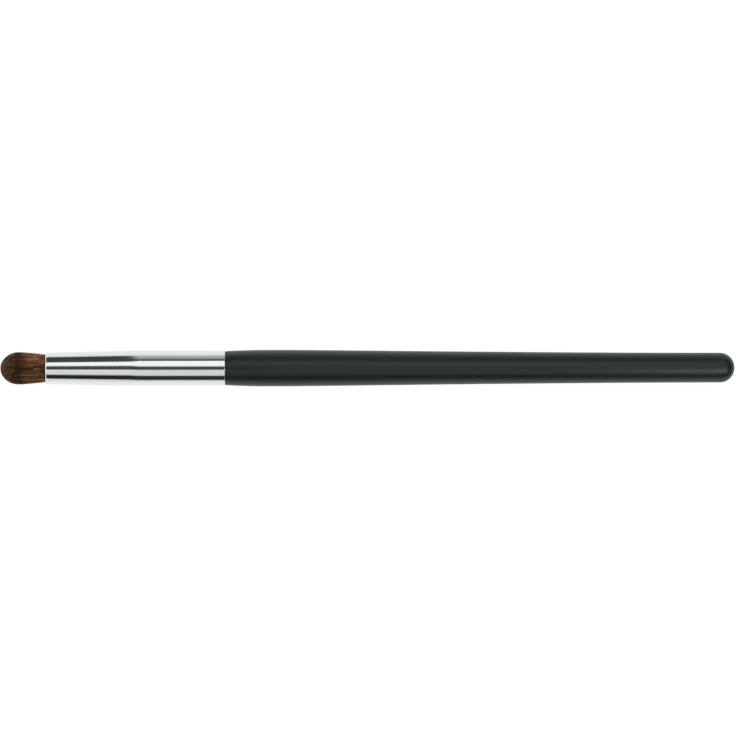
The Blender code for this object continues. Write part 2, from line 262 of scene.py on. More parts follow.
def ferrule_outline():
    """Outside from the rear rim to the lip, then the bore back to the rear: a closed ring."""
    outer_drop = FERRULE_WALL * RIM_OUTER_SHARE
    inner_round = (FERRULE_WALL - outer_drop) / 2
    lip_radius = float(ferrule_radius(LIP_LENGTH))
    mouth_bore = float(bore_radius(0))
    rear_bore = float(bore_radius(SEATED_LENGTH))
    rear_edge = SEATED_LENGTH - REAR_RIM_LENGTH
    rear = quarter_ellipse(
        (rear_edge, BARREL_RADIUS), (SEATED_LENGTH, BARREL_RADIUS - outer_drop)
    )
    lip = quarter_ellipse((LIP_LENGTH, lip_radius), (0.0, lip_radius - outer_drop))
    outside = along_ferrule(rear_edge, LIP_LENGTH, ferrule_radius, TAPER_STEPS)
    lip_inside = quarter_ellipse((inner_round, mouth_bore), (0.0, mouth_bore + inner_round))
    rear_inside = quarter_ellipse(
        (SEATED_LENGTH - inner_round, rear_bore), (SEATED_LENGTH, rear_bore + inner_round)
    )
    bore = along_ferrule(
        inner_round, SEATED_LENGTH - inner_round, bore_radius, TAPER_STEPS // 2
    )
    return np.vstack(
        [rear[::-1], outside[1:-1], lip, lip_inside[::-1], bore[1:-1], rear_inside, rear[-1:]]
    )


def tenon_grooves():
    """(end, start) of each ring groove in the tenon, from the shoulder inwards."""
    tip_tone_painted_shade_and_glow = FERRULE_LENGTH - TENON_START
    middles = [
        TENON_START + tip_tone_painted_shade_and_glow * (index + 1) / (GROOVE_COUNT + 1)
        for index in reversed(range(GROOVE_COUNT))
    ]
    return [(middle + GROOVE_WIDTH / 2, middle - GROOVE_WIDTH / 2) for middle in middles]


# Radii of what lies inside the ferrule. At its mouth the hair stands half a gap off it.
GLUE_OUTER_RADIUS = float(bore_radius(TENON_START)) - FIT_GAP
GLUE_INNER_RADIUS = GLUE_OUTER_RADIUS - GLUE_THICKNESS
TENON_RADIUS = GLUE_INNER_RADIUS - FIT_GAP
WINDING_RADIUS = (BINDING_HIGH.y - BINDING_LOW.y) / 2 - THREAD_RADIUS
WAIST_RADIUS = WINDING_RADIUS - THREAD_RADIUS - FIT_GAP
ROOT_RADIUS = float(bore_radius(RESIN_START)) - RESIN_SKIN - 2 * FIT_GAP
NECK_RADIUS = float(bore_radius(0)) - FIT_GAP / 2


def handle_outline():
    """From the tail, along the barrel to the shoulder, then down the tenon to its front face."""
    swell_start = FERRULE_LENGTH + SWELL_DISTANCE
    swell_end = swell_start + SWELL_LAND_LENGTH
    dome_start = TAIL_END - TAIL_DOME_LENGTH
    taper = dome_start - swell_end
    chamfer_end = SHOULDER_PLANE + SHOULDER_CHAMFER
    shoulder_radius = BARREL_RADIUS - SHOULDER_STEP
    dome = quarter_ellipse((dome_start, HANDLE_TAIL_RADIUS), (TAIL_END, 0.0), DOME_STEPS)
    barrel = bezier(
        [
            (dome_start, HANDLE_TAIL_RADIUS),
            (dome_start - taper * TAPER_ARRIVE_SHARE, HANDLE_TAIL_RADIUS),
            (swell_end + taper * TAPER_LEAVE_SHARE, HANDLE_RADIUS),
            (swell_end, HANDLE_RADIUS),
        ],
        TAPER_STEPS,
    )
    swell = bezier(
        [
            (swell_start, HANDLE_RADIUS),
            (swell_start - (swell_start - chamfer_end) * SWELL_EASE_SHARE, HANDLE_RADIUS),
            (chamfer_end, shoulder_radius),
        ],
        SWELL_STEPS,
    )
    chamfer = quarter_ellipse(
        (chamfer_end, shoulder_radius), (SHOULDER_PLANE, shoulder_radius - SHOULDER_CHAMFER)
    )
    tenon = [(SHOULDER_PLANE, TENON_RADIUS)]
    for end, start in tenon_grooves():
        tenon.append((end, TENON_RADIUS))
        tenon.append((end, TENON_RADIUS - GROOVE_DEPTH))
        tenon.append((start, TENON_RADIUS - GROOVE_DEPTH))
        tenon.append((start, TENON_RADIUS))
    tenon.append((TENON_START + TENON_CHAMFER, TENON_RADIUS))
    tenon.append((TENON_START, TENON_RADIUS - TENON_CHAMFER))
    tenon.append((TENON_START, 0.0))
    return np.vstack([dome[::-1], barrel[1:], swell, chamfer[1:], rows(*tenon)])


def bundle_outline():
    """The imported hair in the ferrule, from its root to the face that the visible hair leaves."""
    ease = THREAD_RADIUS
    return rows(
        (ROOT_DEPTH, 0.0),
        (ROOT_DEPTH, ROOT_RADIUS - ease),
        (ROOT_DEPTH - ease, ROOT_RADIUS),
        (BINDING_END + 2 * ease, ROOT_RADIUS),
        (BINDING_END + FIT_GAP, WAIST_RADIUS),
        (BINDING_START - FIT_GAP, WAIST_RADIUS),
        (BINDING_START - 2 * ease, float(bore_radius(BINDING_START)) - FIT_GAP - ease / 2),
        (BINDING_START - 4 * ease, float(bore_radius(BINDING_START)) - FIT_GAP),
        (BUNDLE_INSET, float(bore_radius(BUNDLE_INSET)) - FIT_GAP),
        (BUNDLE_INSET, 0.0),
    )


def resin_outline():
    """A cup round the root of the hair, with a hollow meniscus behind."""
    outer = float(bore_radius(RESIN_END)) - FIT_GAP
    front_outer = float(bore_radius(RESIN_START)) - FIT_GAP
    socket_radius = float(bore_radius(RESIN_START)) - RESIN_SKIN - FIT_GAP
    socket_floor = ROOT_DEPTH + FIT_GAP
    meniscus = quarter_ellipse((RESIN_END, outer), (RESIN_END - RESIN_SKIN, 0.0))
    front = rows(
        (RESIN_START, front_outer),
        (RESIN_START, socket_radius),
        (socket_floor, socket_radius),
        (socket_floor, 0.0),
    )
    return np.vstack([meniscus[::-1], front])


def glue_outline():
    """A sleeve round the tenon, with an inner rib in each of the tenon's grooves: a closed ring."""
    outline = [
        (GLUE_END, GLUE_INNER_RADIUS),
        (GLUE_END, GLUE_OUTER_RADIUS),
        (GLUE_START, GLUE_OUTER_RADIUS),
        (GLUE_START, GLUE_INNER_RADIUS),
    ]
    for end, start in reversed(tenon_grooves()):
        outline.append((start + FIT_GAP, GLUE_INNER_RADIUS))
        outline.append((start + FIT_GAP, GLUE_INNER_RADIUS - GROOVE_DEPTH))
        outline.append((end - FIT_GAP, GLUE_INNER_RADIUS - GROOVE_DEPTH))
        outline.append((end - FIT_GAP, GLUE_INNER_RADIUS))
    outline.append((GLUE_END, GLUE_INNER_RADIUS))
    return rows(*outline)


# Surfaces

def at_depth(depth, radius, angle):
    """World places from depth, radius and angle, which are arrays. Angle zero points up."""
    depth, radius, angle = np.broadcast_arrays(depth, radius, angle)
    return np.stack(
        [MOUTH_X + depth, radius * np.sin(angle), AXIS_Z + radius * np.cos(angle)], axis=-1
    )


def new_mesh(name, places, faces, uv):
    """A mesh from its places, its faces and the UV of each face corner, in face order."""
    mesh = bpy.data.meshes.new(name)
    mesh.from_pydata(places.reshape(-1, 3).tolist(), [], faces)
    layer = mesh.uv_layers.new(name="UVMap")
    layer.data.foreach_set("uv", np.asarray(uv, np.float32).ravel())
    mesh.update()
    return mesh


def closed_grid(name, places, tones=None):
    """A closed surface from a grid of places, whose rows close on themselves.

    The faces are the grid's squares. Rows that lie on one point, and a last row that lies on the
    first, are merged, so poles and rings are closed. U is the share of the way round, or the
    tone of the column where tones are given, and V is the share of the way along.
    """
    count, columns = places.shape[:2]
    row, column = np.meshgrid(np.arange(count - 1), np.arange(columns), indexing="ij")
    after = (column + 1) % columns
    corners = [
        row * columns + column,
        row * columns + after,
        (row + 1) * columns + after,
        (row + 1) * columns + column,
    ]
    lengths = np.linalg.norm(np.diff(places[:, 0], axis=0), axis=-1)
    along = np.concatenate([[0.0], np.cumsum(lengths)]) / lengths.sum()
    left = column / columns if tones is None else tones[column]
    right = (column + 1) / columns if tones is None else left
    across = np.stack([left, right, right, left], axis=-1)
    ahead = np.stack([along[row], along[row], along[row + 1], along[row + 1]], axis=-1)
    faces = np.stack(corners, axis=-1).reshape(-1, 4)
    mesh = new_mesh(name, places, faces.tolist(), np.stack([across, ahead], axis=-1))
    form = bmesh.new()
    form.from_mesh(mesh)
    bmesh.ops.remove_doubles(form, verts=form.verts, dist=MERGE_DISTANCE)
    form.to_mesh(mesh)
    form.free()
    mesh.shade_smooth()
    mesh.set_sharp_from_angle(angle=SHARP_ANGLE)
    return mesh


def turned(name, outline, sides=TURNED_SIDES):
    """A turned surface: row i of the outline, carried once round the axis in equal turns."""
    angle = np.arange(sides) * math.tau / sides
    return closed_grid(name, at_depth(outline[:, :1], outline[:, 1:], angle[None, :]))


def new_piece(mesh, node, slot, *materials):
    """A piece that rides on the brush, stands for its node and takes these materials.

    The slot is not used.
    """
    for material in materials:
        mesh.materials.append(material)
    piece = bpy.data.objects.new(mesh.name, mesh)
    bpy.context.scene.collection.objects.link(piece)
    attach(piece, "root")
    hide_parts(node)
    return piece


# Materials

def linear(hex_colour):
    """An sRGB hex value as linear red, green, blue and alpha."""
    values = [int(hex_colour[i : i + 2], 16) / 255 for i in (1, 3, 5)]
    curve = [v / 12.92 if v <= 0.04045 else ((v + 0.055) / 1.055) ** 2.4 for v in values]
    return (*curve, 1.0)


def add_node(tree, kind, inputs=(), **settings):
    """A node of this kind with its settings. Each input gets a value, or a link from a socket."""
    node = tree.nodes.new(kind)
    for name, value in settings.items():
        setattr(node, name, value)
    for key, value in dict(inputs).items():
        if isinstance(value, bpy.types.NodeSocket):
            tree.links.new(value, node.inputs[key])
        else:
            node.inputs[key].default_value = value
    return node


def set_stops(ramp_node, stops):
    """Gives a colour ramp its stops, each a place from 0 to 1 and a linear colour."""
    elements = ramp_node.color_ramp.elements
    while len(elements) < len(stops):
        elements.new(0.5)
    for element, (place, colour) in zip(elements, stops):
        element.position = place
        element.color = colour
    return ramp_node


def bare_material(name):
    """A material and its tree, without nodes."""
    material = bpy.data.materials.new(name)
    material.use_nodes = True
    material.node_tree.nodes.clear()
    return material, material.node_tree


def new_material(name, **values):
    """A material with one Principled shader, and its tree. Values are set on the shader itself."""
    material, tree = bare_material(name)
    shader = add_node(tree, "ShaderNodeBsdfPrincipled")
    for key, value in values.items():
        shader.inputs[key.replace("_", " ")].default_value = value
    add_node(tree, "ShaderNodeOutputMaterial", {"Surface": shader.outputs["BSDF"]})
    return material, tree, shader


# Nearly all of a noise's values lie between these
NOISE_SPAN = {"From Min": 0.3, "From Max": 0.7}


def object_noise(tree, size_mm, stretch=1.0, detail=2.0, roughness=0.5):
    """Noise whose features are about this many millimetres, and stretch times as long along X."""
    place = add_node(tree, "ShaderNodeTexCoord").outputs["Object"]
    scale = (1 / stretch, 1.0, 1.0)
    mapping = add_node(tree, "ShaderNodeMapping", {"Vector": place, "Scale": scale})
    noise = add_node(
        tree,
        "ShaderNodeTexNoise",
        {
            "Vector": mapping.outputs["Vector"],
            "Scale": 1000 / size_mm,
            "Detail": detail,
            "Roughness": roughness,
        },
    )
    return noise.outputs["Fac"]


def satin_black_lacquer():
    """Nitrocellulose lacquer, black with a little green, sprayed and left satin.

    The eye sees a broad soft reflection with a faint orange peel, and little colour of its own.
    """
    material, tree, shader = new_material(
        "satin_black_lacquer", IOR=1.56, Specular_Tint=(0.83, 1.0, 0.93, 1.0)
    )
    cloud = object_noise(tree, size_mm=9.0, stretch=3.0)
    tint = set_stops(
        add_node(tree, "ShaderNodeValToRGB", {"Fac": cloud}),
        [(0.3, linear("#0E1512")), (0.7, linear("#121815"))],
    )
    tree.links.new(tint.outputs["Color"], shader.inputs["Base Color"])
    haze = object_noise(tree, size_mm=2.5, stretch=2.0, detail=4.0)
    rough = add_node(
        tree, "ShaderNodeMapRange", {"Value": haze, **NOISE_SPAN, "To Min": 0.38, "To Max": 0.44}
    )
    tree.links.new(rough.outputs["Result"], shader.inputs["Roughness"])
    peel = object_noise(tree, size_mm=0.7)
    bump = add_node(
        tree, "ShaderNodeBump", {"Height": peel, "Strength": 0.5, "Distance": 0.000004}
    )
    tree.links.new(bump.outputs["Normal"], shader.inputs["Normal"])
    return material


def turned_birch():
    """Birch, turned between centres and left bare where glue has to hold.

    The eye sees pale straight grain along the handle, a little raised.
    """
    material, tree, shader = new_material("turned_birch", Roughness=0.7)
    grain = object_noise(tree, size_mm=0.35, stretch=18.0, detail=5.0, roughness=0.6)
    tint = set_stops(
        add_node(tree, "ShaderNodeValToRGB", {"Fac": grain}),
        [(0.3, linear("#B98F62")), (0.55, linear("#D8B98C")), (0.75, linear("#E6CFA8"))],
    )
    tree.links.new(tint.outputs["Color"], shader.inputs["Base Color"])
    bump = add_node(
        tree, "ShaderNodeBump", {"Height": grain, "Strength": 0.6, "Distance": 0.00003}
    )
    tree.links.new(bump.outputs["Normal"], shader.inputs["Normal"])
    return material


def bright_nickel():
    """Brass tube, drawn, polished and plated with bright nickel.

    The eye sees its surroundings in crisp bands along the tube, broken a little by drawing lines.
    Real drawing lines are too fine to show, and these are as coarse as it takes.
    """
    material, tree, shader = new_material("bright_nickel", Metallic=1.0)
    shader.inputs["Base Color"].default_value = linear("#EDF3F1")
    drawing = object_noise(tree, size_mm=0.12, stretch=60.0, detail=3.0)
    smudge = object_noise(tree, size_mm=3.0, stretch=2.0, detail=4.0)
    lines = add_node(
        tree, "ShaderNodeMapRange", {"Value": drawing, **NOISE_SPAN, "To Min": 0.0, "To Max": 0.03}
    )
    prints = add_node(
        tree, "ShaderNodeMapRange", {"Value": smudge, **NOISE_SPAN, "To Min": 0.03, "To Max": 0.06}
    )
    rough = add_node(
        tree,
        "ShaderNodeMath",
        {0: lines.outputs["Result"], 1: prints.outputs["Result"]},
        operation="ADD",
    )
    tree.links.new(rough.outputs["Value"], shader.inputs["Roughness"])
    bump = add_node(
        tree, "ShaderNodeBump", {"Height": drawing, "Strength": 0.3, "Distance": 0.0000012}
    )
    tree.links.new(bump.outputs["Normal"], shader.inputs["Normal"])
    return material


def brown_hair():
    """Goat hair in its natural brown, washed and cupped to a dome by its tips.

    The eye sees fine streaks that come and go along the hair and a tone for each lock. The tips
    are duller olive, and darker still with painted shade of the dome, where one looks into the
    gaps between them. Their pale ends are a painted glow for the light that a hair carries along
    to its end. At the ferrule's mouth and inside it the hair is darker with painted shade of the
    gap under the lip. The streaks are as wide as a few hairs, because a single hair is finer than
    the photograph shows.
    """
    material, tree, shader = new_material(
        "brown_hair",
        Roughness=0.5,
        Specular_IOR_Level=0.35,
        Subsurface_Weight=0.3,
        Subsurface_Radius=(1.0, 0.85, 0.7),
        Subsurface_Scale=0.0001,
    )
    place = add_node(tree, "ShaderNodeTexCoord")
    on_hair = add_node(tree, "ShaderNodeSeparateXYZ", {"Vector": place.outputs["UV"]})
    wisps = object_noise(tree, size_mm=0.24, stretch=32.0, detail=1.5)
    streak = add_node(
        tree, "ShaderNodeMapRange", {"Value": wisps, **NOISE_SPAN, "To Min": -0.8, "To Max": 0.8}
    )
    mixed = add_node(
        tree,
        "ShaderNodeMath",
        {0: on_hair.outputs["X"], 1: streak.outputs["Result"]},
        operation="ADD",
    )
    tone = set_stops(
        add_node(tree, "ShaderNodeValToRGB", {"Fac": mixed.outputs["Value"]}),
        [
            (0.0, linear("#382215")),
            (0.35, linear("#734C2D")),
            (0.65, linear("#9C6E46")),
            (1.0, linear("#C0976D")),
        ],
    )
    # Darker towards the tips: partly their own duller olive tone, partly painted shade of the dome's
    # gaps between the tips. The very ends lighten again with a painted glow of light carried along
    # the hair.
    tip_tone_painted_shade_and_glow = set_stops(
        add_node(tree, "ShaderNodeValToRGB", {"Fac": on_hair.outputs["Y"]}),
        [
            (0.0, linear("#FFF8EC")),
            (0.72, linear("#F6ECDE")),
            (0.88, linear("#BFB4A3")),
            (0.95, linear("#978C7A")),
            (0.985, linear("#A1967F")),
            (1.0, linear("#CEC2AE")),
        ],
    )
    colour = add_node(
        tree,
        "ShaderNodeMix",
        {"Factor": 1.0, "A": tone.outputs["Color"], "B": tip_tone_painted_shade_and_glow.outputs["Color"]},
        data_type="RGBA",
        blend_type="MULTIPLY",
    )
    # Painted shade: the hair darkens to a dark brown just before the ferrule's mouth and stays dark
    # inside it, for the shaded gap under the lip
    along = add_node(tree, "ShaderNodeSeparateXYZ", {"Vector": place.outputs["Object"]})
    mouth_shade = add_node(
        tree,
        "ShaderNodeMapRange",
        {
            "Value": along.outputs["X"],
            "From Min": MOUTH_X - MOUTH_SHADE_REACH,
            "From Max": MOUTH_X - MOUTH_SHADE_REACH / 2,
        },
    )
    mouth_shaded = add_node(
        tree,
        "ShaderNodeMix",
        {
            "Factor": mouth_shade.outputs["Result"],
            "A": colour.outputs["Result"],
            "B": linear("#33231A"),
        },
        data_type="RGBA",
    )
    tree.links.new(mouth_shaded.outputs["Result"], shader.inputs["Base Color"])
    return material


def cotton_thread():
    """Undyed cotton, three strands plied. The eye sees a dull off-white twist.

    A cotton fibre is about 0.02 mm thick, and the pattern is coarser, so that it shows.
    """
    material, tree, shader = new_material(
        "cotton_thread", Roughness=0.9, Sheen_Weight=0.3, Specular_IOR_Level=0.2
    )
    fibre = object_noise(tree, size_mm=0.05, detail=4.0)
    tint = set_stops(
        add_node(tree, "ShaderNodeValToRGB", {"Fac": fibre}),
        [(0.3, linear("#C9BFA6")), (0.7, linear("#EAE3D0"))],
    )
    tree.links.new(tint.outputs["Color"], shader.inputs["Base Color"])
    return material


def amber_resin():
    """Epoxy potting resin, poured and set. The eye sees glossy amber with a cloud in it."""
    material, tree, shader = new_material("amber_resin", Roughness=0.12, IOR=1.55)
    cloud = object_noise(tree, size_mm=1.5, detail=3.0)
    tint = set_stops(
        add_node(tree, "ShaderNodeValToRGB", {"Fac": cloud}),
        [(0.3, linear("#A8782F")), (0.7, linear("#C99B4C"))],
    )
    tree.links.new(tint.outputs["Color"], shader.inputs["Base Color"])
    return material


def dried_glue():
    """White wood glue, dried to a pale skin. The eye sees a milky film with small craters."""
    material, tree, shader = new_material("dried_glue", Roughness=0.45, IOR=1.47)
    cloud = object_noise(tree, size_mm=0.8, detail=3.0)
    tint = set_stops(
        add_node(tree, "ShaderNodeValToRGB", {"Fac": cloud}),
        [(0.3, linear("#D9CBA4")), (0.7, linear("#EFE6CB"))],
    )
    tree.links.new(tint.outputs["Color"], shader.inputs["Base Color"])
    bump = add_node(
        tree, "ShaderNodeBump", {"Height": cloud, "Strength": 0.4, "Distance": 0.00003}
    )
    tree.links.new(bump.outputs["Normal"], shader.inputs["Normal"])
    return material


# Hair

def smooth_step(value, low, high):
    """0 below low, 1 above high, and an S between them: 3 t^2 - 2 t^3."""
    t = np.clip((value - low) / (high - low), 0, 1)
    return t * t * (3 - 2 * t)


def flank_radius(height):
    """Outline of the tuft by height above the mouth: a quarter sine that swells to the belly.

    Past the belly it closes by a small share of the square of the way into the dome.
    """
    belly = HAIR_LENGTH - DOME_LENGTH
    way = np.clip(height / belly, 0, 1)
    swell = NECK_RADIUS + (BELLY_RADIUS - NECK_RADIUS) * np.sin(math.pi / 2 * way)
    past = np.clip((height - belly) / DOME_LENGTH, 0, None)
    return swell * (1 - DOME_CLOSING_SHARE * past**2)


def dome_height(share):
    """Height of the dome over a hair that stands at this share of the radius: an ellipse."""
    past = np.sqrt((1 - share**2) / (1 - 2 * DOME_CLOSING_SHARE * share**2))
    return HAIR_LENGTH - DOME_LENGTH + DOME_LENGTH * past


def sunflower(count):
    """Places at equal areas on a disc of radius 1: a golden-angle spiral."""
    index = np.arange(count)
    share = np.sqrt((index + 0.5) / count)
    angle = index * GOLDEN_ANGLE
    return np.stack([share * np.cos(angle), share * np.sin(angle)], axis=-1)


def hair_paths(draws):
    """Middle lines of all the hairs: places (hair, point, 3), a tone for each hair and the way up.

    A hair keeps its share of the tuft's radius. On its way up it leans towards the middle of its
    lock, by a smooth step of the way, and waves a little, as one turn of a sine. By another
    smooth step its lock comes to stand a little out from its neighbours, or in. It ends under the
    dome, shorter by its lock's random length and its own, the less the nearer it is to the axis.
    """
    count = HAIRS_PER_LAYER * len(HAIR_LAYERS)
    stand = sunflower(count)
    share = np.linalg.norm(stand, axis=-1)
    locks = sunflower(LOCK_COUNT)
    locks += draws.normal(0, LOCK_SCATTER_SHARE / math.sqrt(LOCK_COUNT), locks.shape)
    apart = np.linalg.norm(stand[:, None] - locks[None], axis=-1)
    lock = apart.argmin(axis=1)
    lock_short = draws.random(LOCK_COUNT)[lock] * LOCK_SHORTENING
    own_short = draws.exponential(HAIR_SHORTENING, count)
    edge = np.clip(share, LEAST_EDGE_SHARE, 1)
    shorter = lock_short + np.minimum(own_short, HAIR_SHORTENING_LIMIT) - HAIR_SHORTENING / 2
    top = dome_height(share) - edge * shorter
    way = 1 - (1 - np.linspace(0, 1, HAIR_SPANS + 1)) ** HAIR_SPAN_POWER
    height = -HAIR_ROOT_INSET + (top[:, None] + HAIR_ROOT_INSET) * way
    pull = LOCK_PULL_SHARE * smooth_step(way, LOCK_PULL_FROM_SHARE, 1.0)[None, :, None]
    unit = stand[:, None] + pull * (locks[lock] - stand)[:, None]
    outward = draws.random(LOCK_COUNT)[lock] - LOCK_SPREAD_INWARD_SHARE
    spread = LOCK_SPREAD_SHARE * outward
    unit *= 1 + (spread[:, None] * smooth_step(way, LOCK_SPREAD_FROM_SHARE, 1.0))[..., None]
    reach = flank_radius(height) - HAIR_RADIUS
    bend = draws.random(count) * math.tau
    phase = draws.random(count) * math.tau
    wave = HAIR_WAVE * way * np.sin(math.tau * way + phase[:, None])
    across = unit * reach[..., None]
    across += np.stack([np.cos(bend), np.sin(bend)], axis=-1)[:, None] * wave[..., None]
    places = np.concatenate([-height[..., None], across], axis=-1)
    lock_tone = LOCK_TONE_SHARE * draws.random(LOCK_COUNT)[lock]
    own_tone = HAIR_TONE_SHARE * draws.random(count)
    return places, lock_tone + own_tone + LEAST_TONE, way


def hair_layer(name, places, tones, way, draws):
    """One layer of hairs, each a closed tube of three sides that tapers to its tip.

    The tube's corners lie round the middle line, across the axis, at the radius times a taper.
    U is the hair's tone and V the share of the way to its tip.
    """
    count, points = places.shape[:2]
    taper = 1 - (1 - HAIR_TIP_SHARE) * smooth_step(way, HAIR_TAPER_FROM_SHARE, 1.0)
    turn = draws.random(count)[:, None] * math.tau + np.arange(HAIR_SIDES) * math.tau / HAIR_SIDES
    ring = HAIR_RADIUS * np.stack([np.zeros_like(turn), np.cos(turn), np.sin(turn)], axis=-1)
    corners = places[:, :, None] + ring[:, None] * taper[None, :, None, None]
    corners[..., 0] += MOUTH_X
    corners[..., 2] += AXIS_Z
    hair, span, side = np.meshgrid(
        np.arange(count), np.arange(points - 1), np.arange(HAIR_SIDES), indexing="ij"
    )
    after = (side + 1) % HAIR_SIDES
    low = (hair * points + span) * HAIR_SIDES
    high = low + HAIR_SIDES
    walls = np.stack([low + side, low + after, high + after, high + side], axis=-1)
    start = np.arange(count)[:, None] * points * HAIR_SIDES
    roots = start + np.arange(HAIR_SIDES)[::-1]
    tips = start + (points - 1) * HAIR_SIDES + np.arange(HAIR_SIDES)
    wall_v = np.stack([way[span], way[span], way[span + 1], way[span + 1]], axis=-1)
    wall_uv = np.stack([np.broadcast_to(tones[hair][..., None], wall_v.shape), wall_v], axis=-1)
    cap_u = np.repeat(tones, HAIR_SIDES)
    root_uv = np.stack([cap_u, np.zeros_like(cap_u)], axis=-1)
    tip_uv = np.stack([cap_u, np.ones_like(cap_u)], axis=-1)
    faces = walls.reshape(-1, 4).tolist() + roots.tolist() + tips.tolist()
    uv = np.vstack([wall_uv.reshape(-1, 2), root_uv, tip_uv])
    mesh = new_mesh(name, corners, faces, uv)
    mesh.shade_smooth()
    return mesh


def hair_bundle(draws):
    """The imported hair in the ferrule: the bundle's outline, ridged by its outer hairs."""
    sides = BUNDLE_RIDGES * POINTS_PER_RIDGE
    outline = in_fine_steps(bundle_outline(), BUNDLE_STEP)
    angle = np.arange(sides) * math.tau / sides
    ridge = 0.5 - 0.5 * np.cos(angle * BUNDLE_RIDGES)
    radius = outline[:, 1:] * (1 - RIDGE_SHARE * ridge[None])
    ridge_tones = BUNDLE_LEAST_TONE + BUNDLE_TONE_SHARE * draws.random(BUNDLE_RIDGES)
    tones = np.repeat(ridge_tones, POINTS_PER_RIDGE)
    return closed_grid("hair_bundle", at_depth(outline[:, :1], radius, angle[None]), tones)


# Thread

def binding_thread():
    """The thread, as one plied tube on a helix round the bundle.

    The middle line is the winding radius at an angle that grows evenly with the depth. The
    section is a circle with three lobes, turned along the way as the plies twist.
    """
    turn = np.linspace(0, BINDING_TURNS, BINDING_TURNS * POINTS_PER_TURN + 1)[:, None]
    middle = BINDING_START + THREAD_RADIUS
    middle = middle + turn / BINDING_TURNS * (BINDING_END - BINDING_START - 2 * THREAD_RADIUS)
    around = np.arange(THREAD_SIDES)[None] * math.tau / THREAD_SIDES
    twist = THREAD_PLIES * (around + TWISTS_PER_TURN * turn)
    radius = THREAD_RADIUS * (1 - PLY_LOBE_SHARE * (0.5 - 0.5 * np.cos(twist)))
    places = at_depth(
        middle - radius * np.sin(around),
        WINDING_RADIUS + radius * np.cos(around),
        turn * math.tau,
    )
    ends = places[[0, -1]].mean(axis=1, keepdims=True)
    caps = np.repeat(ends, THREAD_SIDES, axis=1)
    return closed_grid("hair_binding_thread", np.concatenate([caps[:1], places, caps[1:]]))


# Studio

def grey(level):
    """A grey of this linear level."""
    return (level, level, level, 1.0)


def glowing_material(name, level):
    """A material that only gives light, at this level."""
    material, tree = bare_material(name)
    glow = add_node(tree, "ShaderNodeEmission", {"Strength": level})
    add_node(tree, "ShaderNodeOutputMaterial", {"Surface": glow.outputs["Emission"]})
    return material


def new_stage(name, places, material, faces=((0, 1, 2, 3),)):
    """An object of the studio, which isn't part of the brush: a card, unless it has more faces."""
    mesh = bpy.data.meshes.new(name)
    mesh.from_pydata(places, [], faces)
    mesh.materials.append(material)
    stage = bpy.data.objects.new(name, mesh)
    bpy.context.scene.collection.objects.link(stage)
    return stage


def only_in_reflections(stage):
    """Hides an object of the studio from all but reflections."""
    stage.visible_camera = False
    stage.visible_shadow = False
    stage.visible_diffuse = False


# The table's levels. In a reflection it fades with the distance from the brush's axis, as a share
# of the fade's length. For the camera most of it is plain white, at the white level, and the rest
# is paper, which keeps the shadow. Diffuse rays get the thrown level from it.
TABLE_HALF = 3.0
TABLE_FADE_LENGTH = 0.2
TABLE_FADE = [(0.075, 0.91), (0.225, 0.81), (1.0, 0.63)]
TABLE_WHITE_LEVEL = 1.08
TABLE_WHITE_SHARE = 0.9
TABLE_THROWN_LEVEL = 1.7


def studio_floor():
    """A white table top, lit from below as well, so that it throws light up on the hair's rims.

    It fades to plain white for the camera, and keeps a faint shadow.
    """
    material, tree = bare_material("white_table")
    path = add_node(tree, "ShaderNodeLightPath")
    paper = add_node(tree, "ShaderNodeBsdfDiffuse", {"Color": linear("#F2F2F2")})
    white = add_node(tree, "ShaderNodeEmission", {"Strength": TABLE_WHITE_LEVEL})
    place = add_node(tree, "ShaderNodeTexCoord").outputs["Object"]
    off = add_node(tree, "ShaderNodeSeparateXYZ", {"Vector": place}).outputs["Y"]
    away = add_node(
        tree, "ShaderNodeMath", {0: off, 1: 1 / TABLE_FADE_LENGTH}, operation="MULTIPLY"
    )
    away = add_node(tree, "ShaderNodeMath", {0: away.outputs["Value"]}, operation="ABSOLUTE")
    fade = set_stops(
        add_node(tree, "ShaderNodeValToRGB", {"Fac": away.outputs["Value"]}),
        [(share, grey(level)) for share, level in TABLE_FADE],
    )
    pale = add_node(tree, "ShaderNodeEmission", {"Color": fade.outputs["Color"]})
    seen = add_node(
        tree,
        "ShaderNodeMath",
        {0: path.outputs["Is Camera Ray"], 1: TABLE_WHITE_SHARE},
        operation="MULTIPLY",
    )
    mirrored = add_node(
        tree,
        "ShaderNodeMixShader",
        {0: path.outputs["Is Glossy Ray"], 1: paper.outputs["BSDF"], 2: pale.outputs["Emission"]},
    )
    glow = add_node(tree, "ShaderNodeEmission", {"Strength": TABLE_THROWN_LEVEL})
    thrown = add_node(
        tree,
        "ShaderNodeMixShader",
        {
            0: path.outputs["Is Diffuse Ray"],
            1: mirrored.outputs["Shader"],
            2: glow.outputs["Emission"],
        },
    )
    surface = add_node(
        tree,
        "ShaderNodeMixShader",
        {0: seen.outputs["Value"], 1: thrown.outputs["Shader"], 2: white.outputs["Emission"]},
    )
    add_node(tree, "ShaderNodeOutputMaterial", {"Surface": surface.outputs["Shader"]})
    places = [
        (-TABLE_HALF, -TABLE_HALF, FLOOR_Z),
        (TABLE_HALF, -TABLE_HALF, FLOOR_Z),
        (TABLE_HALF, TABLE_HALF, FLOOR_Z),
        (-TABLE_HALF, TABLE_HALF, FLOOR_Z),
    ]
    new_stage("floor", places, material)


